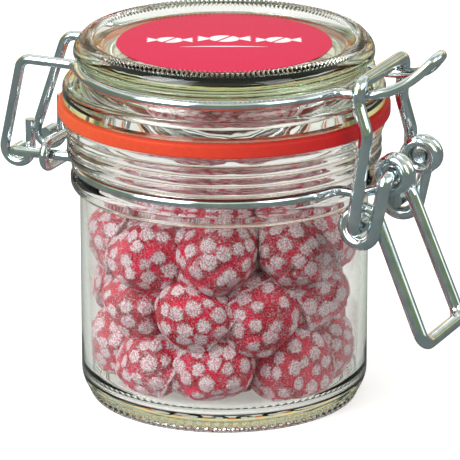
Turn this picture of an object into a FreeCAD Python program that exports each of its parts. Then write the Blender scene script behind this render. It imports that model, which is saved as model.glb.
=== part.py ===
import FreeCAD, Part
import math
import os

import Sketcher

# A small round clip-top jar of candies, closed, in millimetres. +Z is up, the origin is on the
# jar's axis at its base, the wire clasp is on the +X side and the lid's hinge on the -X side.
#
# The jar and the lid are turned glass shapes with a rubber ring between them. Five bent wires close
# it: two mirrored neck wires whose rear arms a link holds together, the lid's collar with its tongue
# and two hinge legs, the U-shaped lever that turns in the neck wires' coils, and the bail that hooks
# into the lever's eyes and pulls on the tongue. All sizes stand in the sheet below, once each.

SIZES = (
    # glass body
    ("body_radius", 30.0, "outside of the straight body"),
    ("body_height", 44.9, "base to the line where the shoulder starts"),
    ("wall", 1.9, "thickness of the body's side"),
    ("floor_thickness", 2.6, "glass under the contents"),
    ("floor_round", 4.0, "rounding between floor and side, inside"),
    ("punt_depth", 0.9, "hollow under the base"),
    ("foot_inset", 2.0, "foot's outer edge, in from the body's side"),
    ("foot_width", 3.2, "width of the ring the jar stands on"),
    ("heel_inset", 0.8, "top of the sloping heel, in from the body's side"),
    ("heel_height", 2.5, "height of the sloping heel"),
    ("heel_round", 6.0, "rounding from the heel to the side"),
    ("heel_rise", 3.0, "height of that rounding"),
    # neck
    ("shoulder_overhang", 1.9, "shoulder ring, out from the body's side"),
    ("shoulder_round", 1.5, "roundings of the shoulder ring"),
    ("shoulder_band", 1.0, "upright band of the shoulder ring"),
    ("shoulder_step", 1.0, "lower edge of the neck wires' groove, in from the shoulder ring"),
    ("neck_groove_rise", 5.1, "shoulder line to the neck wires"),
    ("groove_tuck", 0.15, "by which half a wire groove's floor is less than the wire's radius"),
    ("groove_slope", 0.9, "height of a wire groove's sloping side"),
    ("neck_overhang", 2.3, "ribbed neck, out from the body's side"),
    ("rib_pitch", 2.05, "height of one rib of the neck"),
    ("rib_round", 1.6, "rounding of one rib"),
    ("rim_overhang", 3.3, "rim, out from the body's side"),
    ("rim_thickness", 2.3, "height of the rim"),
    ("rim_round", 0.6, "roundings of the rim"),
    ("mouth_inset", 2.2, "mouth, in from the body's outside"),
    ("mouth_slope", 2.5, "height over which the inside narrows to the mouth"),
    # rubber ring
    ("ring_overhang", 4.4, "rubber ring, out from the body's side"),
    ("ring_thickness", 3.0, "height of the rubber ring"),
    ("ring_round", 0.7, "roundings of the rubber ring's edge"),
    ("rim_gap", 0.2, "between the rim and the rubber ring"),
    ("seat_gap", 0.02, "between pieces that lie on one another"),
    # lid
    ("plug_gap", 1.0, "between the mouth and the lid's plug"),
    ("plug_ring_gap", 0.4, "between the plug and the rubber ring"),
    ("plug_width", 1.7, "thickness of the plug's wall"),
    ("plug_depth", 0.6, "how far the plug reaches below the rim"),
    ("flange_overhang", 3.4, "lid's flange, out from the body's side"),
    ("flange_thickness", 2.8, "upright edge of the flange"),
    ("flange_round", 0.6, "lower rounding of the flange"),
    ("flange_top_round", 1.4, "upper rounding of the flange"),
    ("collar_rise", 2.7, "top of the flange to the collar wire"),
    ("collar_inset", 1.0, "lid's groove, in from the body's side"),
    ("collar_slope", 1.25, "width of the sloping sides of the lid's groove"),
    ("flank_overhang", 1.1, "lid's flank at its widest, out from the body's side"),
    ("flank_rise", 3.4, "collar wire to the flank's widest place"),
    ("flank_low_round", 1.9, "rounding below the widest place"),
    ("flank_top_round", 2.9, "rounding above the widest place"),
    ("bead_rise", 2.3, "flank's widest place to the foot of the bead ring"),
    ("bead_inset", 0.1, "outer foot of the bead ring, in from the body's side"),
    ("bead_width", 3.0, "width of the bead ring"),
    ("bead_round", 1.65, "rounding of the bead ring"),
    ("recess_step", 1.9, "width of the sloping edge of the lid's recess"),
    ("recess_depth", 1.0, "depth of the recess below the bead ring's foot"),
    ("lid_thickness", 4.4, "glass in the middle of the lid"),
    ("dome_round", 2.5, "rounding of the hollow under the lid"),
    # label
    ("label_radius", 22.2, "round label"),
    ("label_thickness", 0.25, "label"),
    # wires
    ("wire_radius", 1.05, "thin wire: neck wires, link and lid wire"),
    ("clasp_wire_radius", 1.4, "thick wire: lever and bail"),
    ("wire_gap", 0.08, "between a wire and the groove it lies in"),
    ("wire_bend", 3.0, "usual bend of a thin wire"),
    # hinge
    ("hinge_reach", 14.5, "hinge pins, out from the body's side"),
    ("hinge_drop", 1.1, "hinge pins below the neck wires' ring"),
    ("arm_spread", 11.6, "rear arms where they leave the ring, to each side of the middle"),
    ("pin_spread", 9.6, "rear arms where they turn into the pins, to each side"),
    ("arm_run", 2.5, "level start of a rear arm"),
    ("pin_length", 4.4, "hinge pin, in from its arm"),
    ("pin_bend", 1.6, "bend between a rear arm and its pin"),
    ("hook_spread", 7.2, "lid wire's hooks, to each side of the middle"),
    ("hook_radius", 3.0, "centre line of a hook"),
    ("near_stub_height", 6.7, "near hook's free end above the pin"),
    ("far_stub_height", 8.3, "far hook's free end above the pin"),
    ("leg_spread", 10.2, "lid wire's legs at the collar, to each side"),
    ("leg_lean", 2.6, "by which the legs' tops lean towards the near side"),
    ("leg_reach", 10.4, "top corner of a leg, out from the body's side"),
    ("link_reach", 5.0, "link, out from the body's side"),
    ("link_gap", 0.4, "between the link and the arms"),
    # tongue
    ("tongue_spread", 9.0, "tongue's legs, to each side"),
    ("tongue_bend_reach", 8.5, "where the legs turn in, out from the body's side"),
    ("tongue_middle_reach", 13.6, "where they rise, out from the body's side"),
    ("tongue_middle_spread", 5.0, "legs there, to each side"),
    ("tongue_middle_rise", 2.8, "legs there, above the collar"),
    ("tongue_tip_reach", 17.8, "tip, out from the body's side"),
    ("tongue_tip_spread", 2.0, "legs at the tip, to each side"),
    ("tongue_tip_rise", 7.6, "tip above the collar"),
    ("tongue_rise", 0.5, "legs below the bail, above the collar"),
    # lever
    ("pivot_reach", 11.2, "coils' axis, out from the body's side"),
    ("pivot_rise", 4.4, "coils' axis above the neck wires' ring"),
    ("coil_radius", 3.1, "centre line of a coil"),
    ("coil_spread", 9.3, "coils' outer turns, to each side"),
    ("coil_turns", 1.8, "turns of a coil"),
    ("turn_gap", 0.1, "between two turns of one wire"),
    ("lever_gap", 0.3, "between lever and coil, and lever and bail, sideways"),
    ("eye_inset", 5.9, "lever's eyes, in from the coils' axis"),
    ("eye_drop", 11.0, "lever's eyes below the coils' axis"),
    ("eye_radius", 3.5, "centre line of an eye"),
    ("handle_reach", 8.1, "handle's end bar, out from the coils' axis"),
    ("handle_drop", 34.9, "handle's end bar below the coils' axis"),
    ("handle_spread", 9.7, "handle's legs at the end bar, to each side"),
    ("clasp_bend", 2.8, "bends of the handle's corners"),
    ("lever_pin_length", 6.2, "lever's pin, in from its riser"),
    # bail
    ("bail_hook_length", 7.2, "bail's hook, in from its leg"),
    ("bail_top_spread", 11.5, "bail's legs at the top, to each side"),
    ("near_low_rise", 20.2, "near leg's lower bend above the eyes"),
    ("near_low_shift", 2.0, "near leg's lower bend, out from the eyes"),
    ("near_high_rise", 26.4, "near leg's upper bend above the eyes"),
    ("near_high_shift", -0.4, "near leg's upper bend, out from the eyes"),
    ("far_low_rise", 14.2, "far leg's lower bend above the eyes"),
    ("far_low_shift", 0.9, "far leg's lower bend, out from the eyes"),
    ("far_high_rise", 21.4, "far leg's upper bend above the eyes"),
    ("far_high_shift", -0.9, "far leg's upper bend, out from the eyes"),
    ("tongue_gap", 0.25, "between the tongue and the bail that lies on it"),
    # contents
    ("candy_radius", 8.3, "one candy"),
    ("candy_press", 0.6, "by which a candy is flattened where it leans on the glass"),
    ("heap_gap", 0.2, "between the heap and the glass"),
    ("layer_rise", 11.9, "from one layer of candies to the next"),
    ("inner_reach", 12.5, "second shell of candies, from the axis"),
    ("heap_core_radius", 21.0, "solid middle of the heap"),
)
LAYERS = 3
CANDIES_PER_LAYER = 9
INNER_CANDIES = 6

doc = FreeCAD.newDocument("clip_top_jar")
sheet = doc.addObject("Spreadsheet::Sheet", "Sizes")
for row, (alias, number, note) in enumerate(SIZES, start=1):
    sheet.set("A%d" % row, alias)
    sheet.set("B%d" % row, str(number))
    sheet.set("C%d" % row, note)
    sheet.setAlias("B%d" % row, alias)
doc.recompute()


# An arc is drawn a little flatter than a true quarter circle, so that it always spans its corners.
FLAT = 1.05
NEARLY_ROUND = 1.02


class Dim:
    """A length that knows its number and the sheet's expression for it."""

    def __init__(self, number, text):
        self.number = number
        self.text = text

    def __add__(self, other):
        other = as_dim(other)
        return Dim(self.number + other.number, "(%s + %s)" % (self.text, other.text))

    def __sub__(self, other):
        other = as_dim(other)
        return Dim(self.number - other.number, "(%s - %s)" % (self.text, other.text))

    def __mul__(self, factor):
        return Dim(self.number * factor, "(%s * %r)" % (self.text, factor))

    def __neg__(self):
        return self * -1


def as_dim(value):
    return value if isinstance(value, Dim) else Dim(value, repr(value))


def size(alias):
    return Dim(sheet.get(alias), "Sizes." + alias)


def bind(thing, prop, dim):
    thing.setExpression(prop, dim.text)


def vector(x, y, z):
    return FreeCAD.Vector(x.number, y.number, z.number)


# ---------------------------------------------------------------- places that several pieces share

ZERO = as_dim(0.0)
BODY = size("body_radius")
INSIDE = BODY - size("wall")
MOUTH = BODY - size("mouth_inset")
FLOOR = size("punt_depth") + size("floor_thickness")
SHOULDER = size("body_height")
WIRE = size("wire_radius")
THICK = size("clasp_wire_radius")

NECK_WIRE_Z = SHOULDER + size("neck_groove_rise")
GROOVE_HALF = WIRE - size("groove_tuck")
GROOVE_RISE = GROOVE_HALF + size("groove_slope")
NECK_RING = BODY + size("shoulder_overhang") - size("wire_radius") - size("wire_gap") * 2
NECK_FLOOR = NECK_RING - WIRE - size("wire_gap")
RIBS = 3
RIBS_TOP = NECK_WIRE_Z + GROOVE_RISE + size("rib_pitch") * RIBS
RIM_TOP = RIBS_TOP + size("rim_thickness")
RING_BOTTOM = RIM_TOP + size("rim_gap")
FLANGE_BOTTOM = RING_BOTTOM + size("ring_thickness")
FLANGE = BODY + size("flange_overhang")
FLANGE_TOP = FLANGE_BOTTOM + size("flange_thickness") + size("flange_top_round")
COLLAR_Z = FLANGE_TOP + size("collar_rise")
COLLAR_FLOOR = BODY - size("collar_inset")
COLLAR_RING = COLLAR_FLOOR + WIRE + size("wire_gap")
FLANK_Z = COLLAR_Z + size("flank_rise")
BEAD_FOOT_Z = FLANK_Z + size("bead_rise")
RECESS_FLOOR = BEAD_FOOT_Z - size("recess_depth")

PIN_X = -(BODY + size("hinge_reach"))
PIN_Z = NECK_WIRE_Z - size("hinge_drop")
PIVOT_X = BODY + size("pivot_reach")
PIVOT_Z = NECK_WIRE_Z + size("pivot_rise")
EYE_X = PIVOT_X - size("eye_inset")
EYE_Z = PIVOT_Z - size("eye_drop")
RISER_Y = size("coil_spread") + WIRE + THICK + size("lever_gap") * 0.5
HANDLE_Y = RISER_Y - THICK * 2 - size("turn_gap")
BAIL_Y = RISER_Y + THICK * 2 + size("lever_gap")
CROSSBAR_Z = COLLAR_Z + size("tongue_rise") + WIRE + THICK + size("tongue_gap")


# ---------------------------------------------------------------- turned pieces

def straight_side(start, end):
    return Part.LineSegment(start, end), (1, 2)


def arc_side(start, end, radius, lean):
    """Arc from start to end; lean 1 has its centre on the left of that way, -1 on the right."""
    chord = end - start
    offset = math.sqrt(max(radius * radius - chord.Length ** 2 / 4.0, 0.0))
    left = FreeCAD.Vector(-chord.y, chord.x, 0).normalize()
    centre = (start + end) * 0.5 + left * (offset * lean)
    first, last = (start, end) if lean > 0 else (end, start)
    angles = [math.atan2(p.y - centre.y, p.x - centre.x) for p in (first, last)]
    if angles[1] < angles[0]:
        angles[1] += 2 * math.pi
    circle = Part.Circle(centre, FreeCAD.Vector(0, 0, 1), radius)
    return Part.ArcOfCircle(circle, angles[0], angles[1]), (1, 2) if lean > 0 else (2, 1)


def draw_outline(sketch, outline):
    """Closed outline of corners (r, z), or (r, z, radius, lean) where an arc leads to the next."""
    sides = []
    for index, corner in enumerate(outline):
        after = outline[(index + 1) % len(outline)]
        start = FreeCAD.Vector(corner[0].number, corner[1].number, 0)
        end = FreeCAD.Vector(after[0].number, after[1].number, 0)
        if len(corner) == 2:
            shape, ends = straight_side(start, end)
        else:
            shape, ends = arc_side(start, end, corner[2].number, corner[3])
        sides.append((sketch.addGeometry(shape, False), ends))
    for index, (side, ends) in enumerate(sides):
        next_side, next_ends = sides[(index + 1) % len(sides)]
        sketch.addConstraint(
            Sketcher.Constraint("Coincident", side, ends[1], next_side, next_ends[0]))
    for (side, ends), corner in zip(sides, outline):
        for kind, axis, dim in (("DistanceX", -2, corner[0]), ("DistanceY", -1, corner[1])):
            if dim.number == 0.0:
                sketch.addConstraint(Sketcher.Constraint("PointOnObject", side, ends[0], axis))
                continue
            place = Sketcher.Constraint(kind, -1, 1, side, ends[0], dim.number)
            bind(sketch, "Constraints[%d]" % sketch.addConstraint(place), dim)
        if len(corner) > 2:
            bend = Sketcher.Constraint("Radius", side, corner[2].number)
            bind(sketch, "Constraints[%d]" % sketch.addConstraint(bend), corner[2])


def turned(label, outline):
    """A body turned about the jar's axis."""
    body = doc.addObject("PartDesign::Body", label)
    body.Label = label
    sketch = body.newObject("Sketcher::SketchObject", label + "_outline")
    plane = [item for item in body.Origin.OriginFeatures if item.Role == "XZ_Plane"][0]
    sketch.AttachmentSupport = [(plane, "")]
    sketch.MapMode = "FlatFace"
    draw_outline(sketch, outline)
    doc.recompute()
    turn = body.newObject("PartDesign::Revolution", label + "_turn")
    turn.Profile = (sketch, [""])
    turn.ReferenceAxis = (sketch, ["V_Axis"])
    turn.Angle = 360.0
    sketch.Visibility = False
    return body


def jar_glass():
    """The jar: foot, body, shoulder ring, groove for the neck wires, ribbed neck, rim."""
    foot = BODY - size("foot_inset")
    hollow = foot - size("foot_width")
    heel = BODY - size("heel_inset")
    shoulder = BODY + size("shoulder_overhang")
    round_off = size("shoulder_round")
    band_low = SHOULDER + round_off
    band_top = band_low + size("shoulder_band")
    neck = BODY + size("neck_overhang")
    rim = BODY + size("rim_overhang")
    rim_round = size("rim_round")
    floor_round = size("floor_round")
    outline = [
        (ZERO, size("punt_depth")),
        (hollow, size("punt_depth")),
        (hollow + size("punt_depth"), ZERO),
        (foot, ZERO),
        (heel, size("heel_height"), size("heel_round"), 1),
        (BODY, size("heel_height") + size("heel_rise")),
        (BODY, SHOULDER),
        (shoulder - round_off, SHOULDER, round_off * FLAT, 1),
        (shoulder, band_low),
        (shoulder, band_top, round_off * FLAT, 1),
        (shoulder - size("shoulder_step"), NECK_WIRE_Z - GROOVE_RISE),
        (NECK_FLOOR, NECK_WIRE_Z - GROOVE_HALF),
        (NECK_FLOOR, NECK_WIRE_Z + GROOVE_HALF),
    ]
    for rib in range(RIBS):
        foot_z = NECK_WIRE_Z + GROOVE_RISE + size("rib_pitch") * rib
        outline.append((neck, foot_z, size("rib_round"), 1))
    outline += [
        (neck, RIBS_TOP),
        (rim, RIBS_TOP + rim_round),
        (rim, RIM_TOP - rim_round, rim_round * FLAT, 1),
        (rim - rim_round, RIM_TOP),
        (MOUTH + rim_round, RIM_TOP, rim_round * FLAT, 1),
        (MOUTH, RIM_TOP - rim_round),
        (MOUTH, SHOULDER + size("mouth_slope")),
        (INSIDE, SHOULDER),
        (INSIDE, FLOOR + floor_round, floor_round * NEARLY_ROUND, -1),
        (INSIDE - floor_round, FLOOR),
        (ZERO, FLOOR),
    ]
    return turned("jar_glass", outline)


def lid_glass():
    """The lid: plug, flange, groove for the collar wire, flank, bead ring, recess."""
    plug = MOUTH - size("plug_gap")
    plug_inside = plug - size("plug_width")
    plug_bottom = RIM_TOP - size("plug_depth")
    plug_round = size("plug_width") * 0.5
    flange_round = size("flange_round")
    top_round = size("flange_top_round")
    flank = BODY + size("flank_overhang")
    bead = BODY - size("bead_inset")
    bead_inside = bead - size("bead_width")
    recess = bead_inside - size("recess_step")
    dome = size("dome_round")
    under = RECESS_FLOOR - size("lid_thickness")
    groove_side = COLLAR_FLOOR + size("collar_slope")
    outline = [
        (ZERO, under),
        (plug_inside - dome, under, dome * NEARLY_ROUND, -1),
        (plug_inside, under - dome),
        (plug_inside, plug_bottom + plug_round, plug_round * NEARLY_ROUND, 1),
        (plug_inside + plug_round, plug_bottom, plug_round * NEARLY_ROUND, 1),
        (plug, plug_bottom + plug_round),
        (plug, FLANGE_BOTTOM),
        (FLANGE - flange_round, FLANGE_BOTTOM, flange_round * FLAT, 1),
        (FLANGE, FLANGE_BOTTOM + flange_round),
        (FLANGE, FLANGE_TOP - top_round, top_round * NEARLY_ROUND, 1),
        (FLANGE - top_round, FLANGE_TOP),
        (groove_side, COLLAR_Z - GROOVE_RISE),
        (COLLAR_FLOOR, COLLAR_Z - GROOVE_HALF),
        (COLLAR_FLOOR, COLLAR_Z + GROOVE_HALF),
        (groove_side, COLLAR_Z + GROOVE_RISE, size("flank_low_round"), 1),
        (flank, FLANK_Z, size("flank_top_round"), 1),
        (bead, BEAD_FOOT_Z, size("bead_round"), 1),
        (bead_inside, BEAD_FOOT_Z),
        (recess, RECESS_FLOOR),
        (ZERO, RECESS_FLOOR),
    ]
    return turned("lid_glass", outline)


def rubber_ring():
    """Flat sealing ring round the lid's plug."""
    outer = BODY + size("ring_overhang")
    inner = MOUTH - size("plug_gap") + size("plug_ring_gap")
    corner = size("ring_round")
    top = FLANGE_BOTTOM - size("seat_gap")
    outline = [
        (inner, RING_BOTTOM),
        (outer - corner, RING_BOTTOM, corner * NEARLY_ROUND, 1),
        (outer, RING_BOTTOM + corner),
        (outer, top - corner, corner * NEARLY_ROUND, 1),
        (outer - corner, top),
        (inner, top),
    ]
    return turned("rubber_ring", outline)


def lid_label():
    """Round label on the floor of the lid's recess."""
    disc = doc.addObject("Part::Cylinder", "lid_label")
    disc.Label = "lid_label"
    bind(disc, "Radius", size("label_radius"))
    bind(disc, "Height", size("label_thickness"))
    bind(disc, "Placement.Base.z", RECESS_FLOOR + size("seat_gap"))
    return disc


# ---------------------------------------------------------------- bent wires

# Bends of the thick wire, in wire radii: at a pin, a hook, an elastic bend and a top corner.
PIN_BEND = 1.2
HOOK_BEND = 1.4
ELASTIC_BEND = 4.0
CORNER_BEND = 1.6
WINDING_STEP = 45.0


def bent_run(points, bends):
    """Straight runs joined by tangent arcs. A bend of None is as wide as its two runs allow."""
    edges = []
    here = points[0]
    for before, corner, after, bend in zip(points, points[1:], points[2:], bends):
        into = corner - before
        out = after - corner
        reach = min(into.Length, out.Length) / 2.0
        turn = into.getAngle(out)
        into.normalize()
        out.normalize()
        if bend is not None:
            reach = bend * math.tan(turn / 2.0)
        bend = reach / math.tan(turn / 2.0)
        start = corner - into * reach
        end = corner + out * reach
        middle = corner + (out - into).normalize() * (bend / math.cos(turn / 2.0) - bend)
        if (start - here).Length > 1e-5:
            edges.append(Part.makeLine(here, start))
        edges.append(Part.Arc(start, middle, end).toShape())
        here = end
    if (points[-1] - here).Length > 1e-5:
        edges.append(Part.makeLine(here, points[-1]))
    return edges


def level_arc(x, y, z, radius, first, last):
    """Arc in a level plane about (x, y), between two angles in degrees."""
    def at(angle):
        bearing = math.radians(angle)
        return FreeCAD.Vector(x + radius * math.cos(bearing), y + radius * math.sin(bearing), z)
    return Part.Arc(at(first), at((first + last) / 2.0), at(last)).toShape()


def half_ring(ring, z, rear_spread, front_spread, bend):
    """Half a ring on the -Y side whose ends turn out along X, and where those ends start."""
    rear_x = math.sqrt((ring + bend) ** 2 - (rear_spread + bend) ** 2)
    front_x = math.sqrt((ring + bend) ** 2 - (front_spread + bend) ** 2)
    rear = math.degrees(math.atan2(rear_spread + bend, rear_x))
    front = math.degrees(math.atan2(front_spread + bend, front_x))
    edges = [
        level_arc(-rear_x, -rear_spread - bend, z, bend, 90.0, rear),
        level_arc(0.0, 0.0, z, ring, 180.0 + rear, 360.0 - front),
        level_arc(front_x, -front_spread - bend, z, bend, 180.0 - front, 90.0),
    ]
    rear_end = FreeCAD.Vector(-rear_x, -rear_spread, z)
    front_end = FreeCAD.Vector(front_x, -front_spread, z)
    return edges, rear_end, front_end


def winding(x, z, radius, first, sweep, y_first, y_last):
    """Corners whose widest bends wind round an axis along Y, from one angle through a sweep."""
    count = math.ceil(abs(sweep) / WINDING_STEP)
    step = math.radians(sweep / count)
    corners = []
    for index in range(count):
        share = (index + 0.5) / count
        bearing = math.radians(first) + step * (index + 0.5)
        reach = radius / math.cos(step / 2.0)
        corners.append(FreeCAD.Vector(
            x + reach * math.cos(bearing),
            y_first + (y_last - y_first) * share,
            z + reach * math.sin(bearing)))
    return corners


def on_circle(x, y, z, radius, angle):
    bearing = math.radians(angle)
    return FreeCAD.Vector(x + radius * math.cos(bearing), y, z + radius * math.sin(bearing))


def across(points):
    """The same points on the other side of the middle plane, in the opposite order."""
    return [FreeCAD.Vector(p.x, -p.y, p.z) for p in reversed(points)]


def round_wire(label, edges, start, way, radius):
    """A round wire along edges that join smoothly, from start and setting off along way."""
    route = doc.addObject("Part::Feature", label + "_route")
    route.Shape = Part.Wire(Part.__sortEdges__(edges))
    section = doc.addObject("Part::Circle", label + "_section")
    bind(section, "Radius", radius)
    section.Placement = FreeCAD.Placement(
        start, FreeCAD.Rotation(FreeCAD.Vector(0, 0, 1), way))
    wire = doc.addObject("Part::Sweep", label)
    wire.Label = label
    wire.Sections = [section]
    wire.Spine = (route, [])
    wire.Solid = True
    wire.Frenet = False
    doc.recompute()
    length = sum(edge.Length for edge in edges)
    expected = length * math.pi * radius.number ** 2
    if abs(wire.Shape.Volume / expected - 1.0) > 0.002:
        raise ValueError("%s: %g mm3 instead of %g" % (label, wire.Shape.Volume, expected))
    return wire


def neck_wires():
    """Near and far neck wire: rear pin and arm, half the neck's ring, front coil."""
    spread = size("arm_spread").number
    coil_y = size("coil_spread").number
    bend = size("wire_bend").number
    ring_z = NECK_WIRE_Z.number
    ring, rear_end, front_end = half_ring(NECK_RING.number, ring_z, spread, coil_y, bend)
    pin_end = vector(PIN_X, -size("pin_spread") + size("pin_length"), PIN_Z)
    rear_points = [
        pin_end,
        vector(PIN_X, -size("pin_spread"), PIN_Z),
        rear_end - FreeCAD.Vector(size("arm_run").number, 0, 0),
        rear_end,
    ]
    rear = bent_run(rear_points, [size("pin_bend").number, None])
    coil = size("coil_radius").number
    coil_sweep = size("coil_turns").number * 360.0
    pitch = 2 * WIRE.number + size("turn_gap").number
    coil_end_y = -coil_y + pitch * size("coil_turns").number
    turns = winding(PIVOT_X.number, PIVOT_Z.number, coil, -90.0, coil_sweep, -coil_y, coil_end_y)
    last = on_circle(PIVOT_X.number, coil_end_y, PIVOT_Z.number, coil, -90.0 + coil_sweep)
    lead_low = front_end + FreeCAD.Vector(bend, 0, 0)
    lead_high = FreeCAD.Vector(PIVOT_X.number - bend, -coil_y, PIVOT_Z.number - coil)
    front_points = [front_end, lead_low, lead_high] + turns + [last]
    front = bent_run(front_points, [None] * (len(front_points) - 2))
    near = round_wire("neck_wire_near", rear + ring + front, pin_end, FreeCAD.Vector(0, -1, 0), WIRE)
    far = doc.addObject("Part::Mirroring", "neck_wire_far")
    far.Label = "neck_wire_far"
    far.Source = near
    far.Normal = FreeCAD.Vector(0, 1, 0)
    arm = (rear_points[1], rear_points[2])
    return [near, far], arm


def arm_link(arm):
    """Oval link that holds the two rear arms together."""
    link_x = -(BODY + size("link_reach")).number
    place = arm[0] + (arm[1] - arm[0]) * ((link_x - arm[0].x) / (arm[1].x - arm[0].x))
    arm_z = place.z
    spread = abs(place.y)
    turn = 2 * WIRE.number + size("link_gap").number
    top = arm_z + turn
    bottom = arm_z - turn

    def at(y, z):
        return FreeCAD.Vector(link_x, y, z)
    edges = [
        Part.makeLine(at(0, top), at(spread, top)),
        Part.Arc(at(spread, top), at(spread + turn, arm_z), at(spread, bottom)).toShape(),
        Part.makeLine(at(spread, bottom), at(-spread, bottom)),
        Part.Arc(at(-spread, bottom), at(-spread - turn, arm_z), at(-spread, top)).toShape(),
        Part.makeLine(at(-spread, top), at(0, top)),
    ]
    return round_wire("arm_link", edges, at(0, top), FreeCAD.Vector(0, 1, 0), WIRE)


def hinge_side(lean, stub_height):
    """Half the lid wire on the -Y side: hook, leg and collar; and where its collar ends."""
    hook = size("hook_radius").number
    hook_y = -size("hook_spread").number
    leg_spread = size("leg_spread") + lean
    ring, rear_end, front_end = half_ring(
        COLLAR_RING.number, COLLAR_Z.number,
        leg_spread.number, size("tongue_spread").number, size("wire_bend").number)
    leg_top = vector(-(BODY + size("leg_reach")), -leg_spread, COLLAR_Z)
    pin = vector(PIN_X, ZERO, PIN_Z)
    lean_angle = math.degrees(math.atan2(leg_top.z - pin.z, leg_top.x - pin.x))
    slack = math.degrees(math.asin(hook / math.hypot(leg_top.x - pin.x, leg_top.z - pin.z)))
    leaving = lean_angle - slack + 90.0
    stub = FreeCAD.Vector(pin.x + hook, hook_y, pin.z + stub_height.number)
    points = [stub]
    points += winding(pin.x, pin.z, hook, 0.0, leaving - 360.0, hook_y, hook_y)
    points += [leg_top, rear_end]
    bends = [None] * (len(points) - 3) + [size("wire_bend").number]
    return bent_run(points, bends) + ring, stub, front_end


def mirrored(edges):
    """The edges on the other side of the middle plane."""
    return [edge.mirror(FreeCAD.Vector(0, 0, 0), FreeCAD.Vector(0, 1, 0)) for edge in edges]


def lid_wire():
    """One wire: hook and leg, collar, tongue, and back round the other side."""
    near, stub, front_end = hinge_side(size("leg_lean"), size("near_stub_height"))
    far = hinge_side(-size("leg_lean"), size("far_stub_height"))[0]
    turn_in = vector(BODY + size("tongue_bend_reach"), -size("tongue_spread"),
                     COLLAR_Z + size("tongue_rise"))
    middle = vector(BODY + size("tongue_middle_reach"), -size("tongue_middle_spread"),
                    COLLAR_Z + size("tongue_middle_rise"))
    tip = vector(BODY + size("tongue_tip_reach"), -size("tongue_tip_spread"),
                 COLLAR_Z + size("tongue_tip_rise"))
    start_up = front_end + FreeCAD.Vector(size("wire_bend").number / 2.0, 0, 0)
    half = [front_end, start_up, turn_in, middle, tip]
    points = half + across(half)
    tongue = bent_run(points, [None] * (len(points) - 2))
    return round_wire("lid_wire", near + tongue + mirrored(far), stub,
                      FreeCAD.Vector(0, 0, -1), WIRE)


def lever_wire():
    """U-shaped lever: pins in the coils, risers, eyes wound once round, and the handle."""
    pivot = vector(PIVOT_X, ZERO, PIVOT_Z)
    eye = vector(EYE_X, ZERO, EYE_Z)
    bar = vector(PIVOT_X + size("handle_reach"), -size("handle_spread"),
                 PIVOT_Z - size("handle_drop"))
    radius = size("eye_radius").number

    def tangent(point, side):
        aim = point - eye
        bearing = math.degrees(math.atan2(aim.z, aim.x))
        return bearing + side * math.degrees(math.acos(radius / math.hypot(aim.x, aim.z)))
    arriving = tangent(pivot, -1)
    leaving = tangent(bar, 1)
    pin_end = vector(PIVOT_X, -RISER_Y + size("lever_pin_length"), PIVOT_Z)
    half = [pin_end, vector(PIVOT_X, -RISER_Y, PIVOT_Z)]
    half += winding(eye.x, eye.z, radius, arriving, leaving - 360.0 - arriving,
                    -RISER_Y.number, -HANDLE_Y.number)
    half.append(bar)
    points = half + across(half)
    bends = [THICK.number * PIN_BEND] + [None] * (len(half) - 3) + [size("clasp_bend").number]
    edges = bent_run(points, bends + bends[::-1])
    return round_wire("lever_wire", edges, pin_end, FreeCAD.Vector(0, -1, 0), THICK)


def bail_leg(low_rise, low_shift, high_rise, high_shift):
    """Points of a leg on the -Y side: hook, two elastic bends, top corner."""
    spread = BAIL_Y - size("bail_top_spread")

    def leg_y(rise):
        share = rise.number / (CROSSBAR_Z - EYE_Z).number
        return -(BAIL_Y - spread * share)
    return [
        vector(EYE_X, -(BAIL_Y - size("bail_hook_length")), EYE_Z),
        vector(EYE_X, -BAIL_Y, EYE_Z),
        vector(EYE_X + low_shift, leg_y(low_rise), EYE_Z + low_rise),
        vector(EYE_X + high_shift, leg_y(high_rise), EYE_Z + high_rise),
        vector(EYE_X, -size("bail_top_spread"), CROSSBAR_Z),
    ]


def bail_wire():
    """Bail: hooks through the lever's eyes, legs with elastic bends, crossbar on the tongue."""
    near = bail_leg(size("near_low_rise"), size("near_low_shift"),
                    size("near_high_rise"), size("near_high_shift"))
    far = bail_leg(size("far_low_rise"), size("far_low_shift"),
                   size("far_high_rise"), size("far_high_shift"))
    bends = [THICK.number * times
             for times in (HOOK_BEND, ELASTIC_BEND, ELASTIC_BEND, CORNER_BEND)]
    edges = bent_run(near + across(far), bends + bends[::-1])
    return round_wire("bail_wire", edges, near[0], FreeCAD.Vector(0, -1, 0), THICK)


# ---------------------------------------------------------------- contents

# How the candies lie out of line: the first one's turn as a share of a candy's, the sway along
# the ring in radians, and the rest in millimetres.
FIRST_TURN = 0.35
SWAY = 0.09
PULL_IN = 1.6
LIFT = 1.0
INNER_LIFT = 0.8

# The heap's facets: round the jar, up the side, and from the edge to the middle of the top.
AROUND = 56
SIDE_LEVELS = 14
TOP_RINGS = 9


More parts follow.
